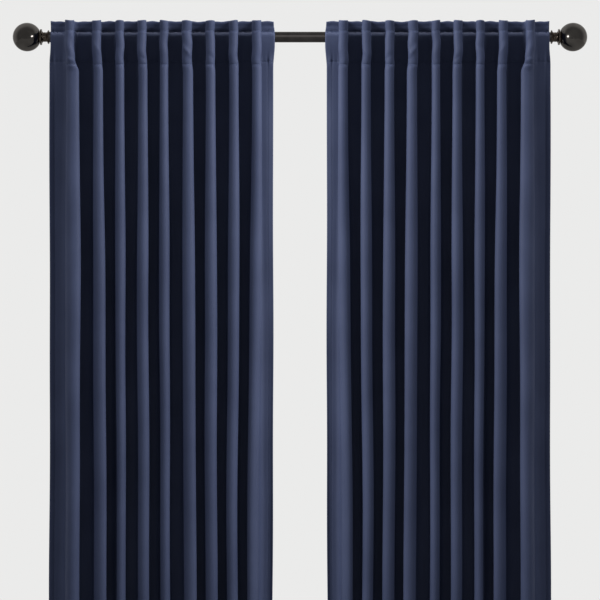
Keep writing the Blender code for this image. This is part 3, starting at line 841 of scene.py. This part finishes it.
# %% [markdown]
# ## The rod and its balls
#
# A turned piece is a profile carried round an axis. The profile is a list of radii and places along the
# axis, with its round stretches worked out as arcs. Carried round, it makes a grid that wraps.

# %% Turned pieces
AXES = {
    "right": np.array([[0, 0, 1], [0, 1, 0], [-1, 0, 0]]),
    "left": np.array([[0, 0, -1], [0, 1, 0], [1, 0, 0]]),
    "room": np.array([[1, 0, 0], [0, 0, -1], [0, 1, 0]]),
    "up": np.eye(3),
}


def turned(name, profile, centre, axis, sides=96, ring=False, shape=None, sharp=32):
    """Carry a profile of (radius, height) round an axis; ring closes the profile on itself.

    shape, if given, takes radius, height and angle as grids and gives back new radius and height.
    """
    profile = np.asarray(profile, float)
    turn = np.arange(sides) / sides * 2 * np.pi
    radius = profile[:, :1] * np.ones_like(turn)
    high = profile[:, 1:2] * np.ones_like(turn)
    if shape is not None:
        radius, high = shape(radius, high, turn * np.ones_like(radius))
    points = np.stack([radius * np.cos(turn), radius * np.sin(turn), high], -1)
    flat = points.reshape(-1, 3) @ AXES[axis].T + np.asarray(centre, float)
    piece = put_mesh(name, flat, grid_quads(len(profile), sides, wrap_rows=ring, wrap_columns=True))
    face_outwards(piece, SAME_POINT)
    piece.data.set_sharp_from_angle(angle=math.radians(sharp))
    return piece


def bow(centre, radius, start, end, count):
    """Points on an arc from start to end degrees, as (radius, height) pairs."""
    a = np.radians(np.linspace(start, end, count))
    return np.stack([centre[0] + radius * np.cos(a), centre[1] + radius * np.sin(a)], -1)


def run_to(start, end, count):
    """Evenly spaced points from start to end, as (radius, height) pairs."""
    return np.stack([np.linspace(start[k], end[k], count) for k in (0, 1)], -1)


# %% [markdown]
# The rod is two plain tubes, the thinner inside the thicker. The tube is rolled over at its ends, where
# a cut edge would catch the cloth, so its profile is a closed ring with a half circle at each end.

# %% Rod
TUBE_WALL = 0.0008


def rod_tube(name, cad, body):
    """A plain tube whose two ends are rolled over."""
    half = size(cad)[0] / 2
    radius = size(cad)[2] / 2
    bore = radius - TUBE_WALL
    lip = TUBE_WALL / 2
    profile = np.concatenate([
        bow((bore + lip, half - lip), lip, 180, 0, 7),
        run_to((radius, half - 2 * lip), (radius, 2 * lip - half), 9),
        bow((bore + lip, lip - half), lip, 0, -180, 7),
        run_to((bore, 2 * lip - half), (bore, half - 2 * lip), 9),
    ])
    piece = turned(name, profile, middle(cad), "right", ring=True)
    return dress(piece, ROD_PAINT, body, [cad])


rod_tube("rod_outer_tube", "outer_tube", "rod_and_brackets")
rod_tube("rod_inner_tube", "inner_tube", "inner_rod")

# %% [markdown]
# The finial is a ball on a turned neck. The neck has a flange under the ball, a waist, and a ring that
# caps the tube. Each edge is broken by a small arc, because a lathe tool leaves no knife edges and the
# light catches them.

# %% Finials
BALL_RADIUS = size("left_finial_ball")[2] / 2
BALL_TIP = -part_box("left_finial_ball")[0].x - ROD_END
BALL_SEAT = -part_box("left_finial_ball")[1].x - ROD_END
BALL_CENTRE = BALL_TIP - BALL_RADIUS
FLANGE_RADIUS = size("left_finial_neck")[2] / 2
RING_LOW = -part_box("left_finial_neck")[1].x - ROD_END
NECK_RADIUS = 0.0118
RING_RADIUS = 0.0163
EDGE = 0.0007


def ball_profile():
    """An arc from the tip down to the seat, closed by the flat seat."""
    seat = -math.degrees(math.asin((BALL_CENTRE - BALL_SEAT) / BALL_RADIUS))
    outside = bow((0, BALL_CENTRE), BALL_RADIUS, 90, seat, 72)
    outside[0] = (0, BALL_CENTRE + BALL_RADIUS)
    return np.concatenate([outside, [(0, BALL_SEAT)]])


def neck_profile():
    """Seat, flange, hollow waist and ring, and the socket that the tube sits in."""
    top = BALL_SEAT - AIR
    socket = ROD_RADIUS + AIR
    flange_low = top - 0.0058
    ring_top = RING_LOW + 0.0030
    bead, bead_half = 0.0062, 0.0016
    hollow = NECK_RADIUS - 0.0008
    rim = FLANGE_RADIUS - 1.4 * EDGE
    turn = np.linspace(np.pi / 2, 0, 11)
    upper = np.stack([rim - (rim - hollow) * np.cos(turn),
                      bead + bead_half + (flange_low - bead - bead_half) * np.sin(turn)], -1)
    round_bead = np.stack([hollow + (NECK_RADIUS - hollow) * np.cos(turn * 1.8 - 1.41),
                           bead + bead_half * np.sin(turn * 1.8 - 1.41)], -1)
    shoulder = RING_RADIUS - EDGE
    lower = np.stack([hollow + (shoulder - hollow) * (1 - np.cos(turn[::-1])),
                      bead - bead_half - (bead - bead_half - ring_top) * np.sin(turn[::-1])], -1)
    return np.concatenate([
        [(0.0045, top), (0.0135, top), (0.0135, top - 0.0020)],
        bow((FLANGE_RADIUS - EDGE, top - 0.0020 - EDGE), EDGE, 90, 0, 6),
        bow((FLANGE_RADIUS - EDGE, flange_low + EDGE), EDGE, 0, -70, 5),
        upper, round_bead, lower,
        bow((RING_RADIUS - EDGE, ring_top - EDGE), EDGE, 70, 0, 5),
        bow((RING_RADIUS - EDGE, RING_LOW + EDGE), EDGE, 0, -90, 6),
        [(socket, RING_LOW), (socket, AIR), (0.0045, AIR)],
    ])


for word, way in SIDES.items():
    place = (way * ROD_END, ROD_Y, 0)
    ball = turned(word + "_ball", ball_profile(), place, word, sides=128)
    dress(ball, BALL_PAINT, word + "_finial", [word + "_finial_ball"])
    neck = turned(word + "_neck", neck_profile(), place, word, sides=128, ring=True)
    dress(neck, NECK_PAINT, word + "_finial", [word + "_finial_neck"])
print("ball radius", round(BALL_RADIUS, 4), "seat", round(BALL_SEAT, 4), "ring", round(RING_LOW, 4))

# %% [markdown]
# ## Brackets
#
# Behind the outer fold a bracket stands on the wall: a plate with softened corners, a round arm, and a
# cradle that the rod drops into, locked by a knurled thumb screw. They show only from the side and
# from behind, but they carry the rod. The plate is pressed from sheet, so its front edge is rounded.

# %% Wall plate
PLATE_CORNER = 0.008


def rounded_outline(half_x, half_z, corner, steps=8):
    """Points round a rectangle with round corners, starting at its right side."""
    parts = []
    for k, (sx, sz) in enumerate(((1, 1), (-1, 1), (-1, -1), (1, -1))):
        turn = np.radians(np.linspace(90 * k, 90 * k + 90, steps))
        centre = (sx * (half_x - corner), sz * (half_z - corner))
        parts.append(np.stack([centre[0] + corner * np.cos(turn), centre[1] + corner * np.sin(turn)], -1))
    return np.concatenate(parts)


def wall_plate(word):
    """A plate whose front edge is rolled: its outline is drawn in along a quarter circle."""
    cad = word + "_wall_plate"
    wide, thick, tall = size(cad)
    roll = 0.0014
    quarter = np.radians(np.linspace(0, 90, 7))
    rings = [(0.0006, 0.0), (0.0, 0.0006)]
    rings += [(roll * (1 - math.cos(a)), thick - roll + roll * math.sin(a)) for a in quarter]
    rings += [(0.0052, thick), (0.0075, thick)]
    loops = []
    for inset, high in rings:
        outline = rounded_outline(wide / 2 - inset, tall / 2 - inset, PLATE_CORNER - inset)
        loops.append(np.stack([outline[:, 0], np.full(len(outline), -high), outline[:, 1]], -1))
    loops.insert(0, loops[0] * (0, 1, 0))
    loops.append(loops[-1] * (0, 1, 0))
    centre = middle(cad) * (1, 0, 1) + (0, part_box(cad)[1].y, 0)
    points = np.array(loops)
    piece = put_mesh(word + "_plate", points + centre, grid_quads(*points.shape[:2], wrap_columns=True))
    face_outwards(piece, SAME_POINT)
    piece.data.set_sharp_from_angle(angle=math.radians(40))
    return dress(piece, BRACKET_PAINT, "rod_and_brackets", [cad])


# %% [markdown]
# The arm is turned, with a collar where it meets the plate and a thin end riveted through at each side.
# The cradle is a strap bent round the rod's underside, so a flat section is carried along a U.

# %% Arm and cradle
CRADLE_THICK = 0.0025
ARM_SPIGOT = 0.0029


def bracket_arm(word):
    """A turned arm with a collar against the plate and a shoulder against the cradle."""
    cad = word + "_bracket_arm"
    low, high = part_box(cad)
    length = high.y - low.y
    radius = size(cad)[2] / 2
    profile = np.concatenate([
        [(0, length), (ARM_SPIGOT, length), (ARM_SPIGOT, length - 0.0024)],
        bow((radius - 0.0006, length - 0.0032), 0.0006, 90, 0, 5),
        run_to((radius, length - 0.0040), (radius, 0.0120), 6),
        bow((radius + 0.0022, 0.0105), 0.0022, 180, 270, 7),
        bow((radius + 0.0022, 0.0073), 0.0010, 90, -90, 7),
        [(ARM_SPIGOT, 0.0041), (ARM_SPIGOT, 0.0002), (0, 0.0)],
    ])
    centre = (middle(cad)[0], high.y, 0)
    piece = turned(word + "_arm", profile, centre, "room", sides=64)
    return dress(piece, BRACKET_PAINT, "rod_and_brackets", [cad])


def rod_cradle(word):
    """A strap bent round the rod: a rounded rectangle carried along a U."""
    cad = word + "_rod_cradle"
    low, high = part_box(cad)
    thick = CRADLE_THICK
    radius = (high.y - low.y) / 2 - thick / 2
    turn = np.radians(np.linspace(0, -180, 41))
    bottom = radius * np.stack([np.cos(turn), np.sin(turn)], -1)
    back = run_to((radius, high.z), (radius, 0.0008), 6)
    front = run_to((-radius, -0.0001), (-radius, 0.0020), 3)
    line = np.concatenate([back, bottom, front[1:]])
    run = np.gradient(line, axis=0)
    run /= np.linalg.norm(run, axis=1, keepdims=True)
    side = np.stack([-run[:, 1], run[:, 0]], -1)
    section = rounded_outline(size(cad)[0] / 2, thick / 2, 0.0006, 4)
    yz = line[:, None] + section[None, :, 1:] * side[:, None]
    x = np.broadcast_to(middle(cad)[0] + section[:, 0], yz.shape[:2])
    points = np.stack([x, (low.y + high.y) / 2 + yz[..., 0], yz[..., 1]], -1)
    ends = points[[0, -1]].mean(1, keepdims=True) * np.ones((1, points.shape[1], 1))
    points = np.concatenate([ends[:1], points, ends[1:]])
    piece = put_mesh(word + "_cradle", points, grid_quads(*points.shape[:2], wrap_columns=True))
    face_outwards(piece, SAME_POINT)
    piece.data.set_sharp_from_angle(angle=math.radians(40))
    return dress(piece, BRACKET_PAINT, "rod_and_brackets", [cad])


# %% [markdown]
# A thread is a helix, so the radius of a screw's grid falls and rises with the height less the angle. A
# knurl is a ripple round the head. A real cradle is tapped for its screw. This one has no hole, and the
# screw's shank passes through the strap.

# %% Screws
SET_SCREW_SHANK = 0.0025
SET_SCREW_REACH = 0.0120        # from the tip to the underside of the head


def threaded(low, high, pitch, deep, knurl=None):
    """Shape for a screw: a helix between two heights, and a knurl between two others."""
    def shape(radius, height, turn):
        """Radius less the helix, and less the knurl on the wide head."""
        inside = step(height, low, low + pitch) * (1 - step(height, high - pitch, high)) * (radius > deep * 2)
        radius = radius - deep * (0.5 + 0.5 * np.cos(2 * np.pi * height / pitch - turn)) * inside
        if knurl:
            grip = step(height, knurl[0], knurl[0] + 0.0004) * (1 - step(height, knurl[1] - 0.0004, knurl[1]))
            radius = radius - 0.0003 * (0.5 + 0.5 * np.cos(30 * turn)) * grip * (radius > 0.0045)
        return radius, height
    return shape


def set_screw(word):
    """Thumb screw: a threaded shank and a knurled head with a domed foot."""
    cad = word + "_set_screw"
    low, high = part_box(cad)
    length = high.z - low.z
    shank, head = SET_SCREW_SHANK, size(cad)[0] / 2
    under = -SET_SCREW_REACH
    profile = np.concatenate([
        [(0, 0), (shank - 0.0005, 0), (shank, -0.0005)],
        run_to((shank, -0.0008), (shank, under + 0.0003), 96),
        bow((head - 0.0008, under - 0.0008), 0.0008, 90, 0, 5),
        run_to((head, under - 0.0012), (head, -length + 0.0012), 5),
        bow((head - 0.0008, -length + 0.0008), 0.0008, 0, -90, 5),
        [(head * 0.6, -length + 0.0002), (0.0, -length + 0.0004)],
    ])
    centre = middle(cad) * (1, 1, 0) + (0, 0, high.z)
    grip = (-length + 0.0008, under - 0.0008)
    cut = threaded(under, -0.0006, 0.0008, 0.00022, grip)
    piece = turned(word + "_thumb_screw", profile, centre, "up", 120, shape=cut)
    return dress(piece, STEEL, word + "_set_screw", [cad])


def wall_screw(word, level):
    """Wood screw with a domed head and a cross recess, its thread running out to a point."""
    cad = f"{word}_{level}_wall_screw"
    low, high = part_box(cad)
    length = high.y - low.y
    head_high, head = 0.0024, size(cad)[0] / 2
    shank = 0.0020
    dome = bow((0, 0), 1, 90, 0, 14)
    under = length - head_high
    profile = np.concatenate([
        np.stack([dome[:, 0] * head, under + 0.0004 + (head_high - 0.0004) * dome[:, 1]], -1),
        [(head, under), (shank, under)],
        run_to((shank, under - 0.0010), (shank, 0.0050), 150),
        run_to((shank * 0.98, 0.0048), (0, 0), 20),
    ])
    twist = threaded(0.0020, under - 0.0040, 0.0014, 0.0005)

    def shape(radius, height, turn):
        """The thread, and a cross sunk into the middle of the head."""
        radius, height = twist(radius, height, turn)
        arm = np.minimum(np.abs(radius * np.cos(turn)), np.abs(radius * np.sin(turn)))
        recess = 0.0013 * (1 - step(arm, 0.0002, 0.0005)) * (1 - step(radius, 0.0020, 0.0026))
        return radius, height - recess * (height > under + 0.0002)

    centre = (middle(cad)[0], high.y, middle(cad)[2])
    piece = turned(f"{word}_{level}_screw", profile, centre, "room", 64, shape=shape)
    return dress(piece, STEEL, "rod_and_brackets", [cad])


for word in SIDES:
    wall_plate(word)
    bracket_arm(word)
    rod_cradle(word)
    set_screw(word)
    wall_screw(word, "upper")
    wall_screw(word, "lower")
print("pieces so far", len(PIECES))

# %% [markdown]
# The studs and the plugs stay hidden inside the rod's ends. Their CAD shapes are right, so they only
# get their finishes.

# %% Hidden CAD nodes
for word in SIDES:
    for name, skin in ((word + "_finial_stud", STEEL), (word + "_end_plug", PLUG_PLASTIC)):
        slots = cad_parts[name].data.materials
        slots.clear()
        slots.append(skin)

# %% [markdown]
# ## Light, floor and camera
#
# A curtain hangs between a bright wall and a dimmer room, and its look comes from that. The sky of this
# scene is pale behind the curtain and dimmer in front of it. Each panel has a large soft lamp towards
# the middle of the window, which rakes across the folds, and a weaker one on its outer side.

# %% World
def pale_sky(behind, before):
    """A world that fades from one grey behind the curtain to a darker one in front of it."""
    world = bpy.data.worlds.new("pale_room")
    bpy.context.scene.world = world
    world.use_nodes = True
    tree = world.node_tree
    place = add_node(tree, "ShaderNodeTexCoord")
    parts = add_node(tree, "ShaderNodeSeparateXYZ")
    tree.links.new(place.outputs["Generated"], parts.inputs["Vector"])
    fade = add_node(tree, "ShaderNodeMapRange", interpolation_type="SMOOTHSTEP")
    fade.inputs["From Min"].default_value = -0.35
    fade.inputs["From Max"].default_value = 0.30
    fade.inputs["To Min"].default_value = before
    fade.inputs["To Max"].default_value = behind
    tree.links.new(parts.outputs["Y"], fade.inputs["Value"])
    background = tree.nodes["Background"]
    background.inputs["Color"].default_value = (1.0, 1.0, 0.993, 1)
    tree.links.new(fade.outputs["Result"], background.inputs["Strength"])


pale_sky(0.83, 0.28)
bpy.context.scene.view_settings.view_transform = "Standard"

# %% [markdown]
# The hem hangs a little clear of the floor. The floor isn't part of the object, so it is kept out of
# the pieces, and no lamp is linked to it: it is lit by the sky alone.
# stage, and no lamp is linked to it: it is lit by the sky alone.

# %% Floor
FLOOR_Z = HEADER_TOP - LENGTH - 0.02
FLOOR_HALF = 6
corners = [(sx * FLOOR_HALF, sy * FLOOR_HALF, FLOOR_Z) for sx, sy in ((-1, -1), (1, -1), (1, 1), (-1, 1))]
floor = put_mesh("floor", corners, [[0, 1, 2, 3]], smooth=False)
PIECES.remove(floor)
floor.data.materials.append(new_material("pale_floor", (0.78, 0.78, 0.77), 0.8)[0])


# %% [markdown]
# Each lamp lights only the pieces that it is linked to, so cloth and metal can be balanced apart. That
# is a studio liberty: a real lamp would light them all. The spark is a small lamp that gives each ball
# its one bright point.

# %% Lamps
def lamp(name, place, aim, width, height, power, colour=(1, 1, 1), receivers=None):
    """A soft rectangular lamp; with receivers, it lights only those pieces."""
    data = bpy.data.lights.new(name, "AREA")
    data.shape = "RECTANGLE"
    data.size = width
    data.size_y = height
    data.energy = power
    data.color = colour
    made = bpy.data.objects.new(name, data)
    bpy.context.scene.collection.objects.link(made)
    made.location = place
    made.rotation_euler = (Vector(aim) - Vector(place)).to_track_quat("-Z", "Y").to_euler()
    if receivers:
        group = bpy.data.collections.new(name + "_lights")
        for piece in receivers:
            group.objects.link(piece)
        made.light_linking.receiver_collection = group
    return made


def around(centre, way, angle, rise, far):
    """A place far from the centre, turned to the window's middle by angle degrees and raised by rise."""
    a, e = math.radians(angle), math.radians(rise)
    return centre + far * Vector((-way * math.sin(a) * math.cos(e), -math.cos(a) * math.cos(e), math.sin(e)))


PANEL_X = (OUTER_X + LEADING_X) / 2
SPARK_ANGLE = math.radians(46)
SPARK_FAR = 2.4
METAL_WORDS = ("ball", "neck", "plate", "arm", "cradle", "screw", "rod")
for word, way in SIDES.items():
    cloth = [p for p in PIECES if p.name.startswith(word) and not p.name.endswith(METAL_WORDS)]
    centre = Vector((-way * PANEL_X, ROD_Y, -0.45))
    lamp(word + "_key", around(centre, way, 60, 25, 2.86), centre, 0.9, 1.1, 150, (1, 0.99, 0.97), cloth)
    lamp(word + "_fill", around(centre, way, -48, 28, 3.2), centre, 0.9, 1.6, 42, (0.97, 0.98, 1), cloth)
    above = Vector((-way * PANEL_X, ROD_Y - 0.045, 2.0))
    lamp(word + "_ceiling", above, above * Vector((1, 1, 0)), 1.0, 0.12, 60, (1, 1, 1), cloth)
    ball_x = way * (ROD_END + BALL_CENTRE)
    spark_x = ball_x - way * SPARK_FAR * math.sin(SPARK_ANGLE)
    spark = Vector((spark_x, ROD_Y - SPARK_FAR * math.cos(SPARK_ANGLE), 0.07))
    metal_pieces = [p for p in PIECES if p.name.startswith(word) and p.name.endswith(METAL_WORDS)]
    lamp(word + "_spark", spark, (ball_x, ROD_Y, 0), 0.28, 0.28, 14, (1, 1, 1), metal_pieces)
lamp("rod_light", (0, ROD_Y - 2.2, 0.7), (0, ROD_Y, 0), 1.6, 1.3, 12, (1, 0.98, 0.96),
     [p for p in PIECES if p.name.startswith("rod")])

# %% [markdown]
# The camera stands well back and looks level, so the rod stays straight and the panels don't converge.
# Its focal length follows from how much should be in view at that distance.

# %% Camera
VIEW_WIDTH = 1.44
DISTANCE = 6.0
CAMERA_Z = -0.631
SENSOR = 36
camera_data = bpy.data.cameras.new("camera")
camera = bpy.data.objects.new("camera", camera_data)
bpy.context.scene.collection.objects.link(camera)
camera.location = (0.0, ROD_Y - DISTANCE, CAMERA_Z)
camera.rotation_euler = (math.radians(90), 0, 0)
camera_data.sensor_width = SENSOR
camera_data.lens = SENSOR * DISTANCE / VIEW_WIDTH
print("lens", camera_data.lens)
bpy.context.scene.camera = camera
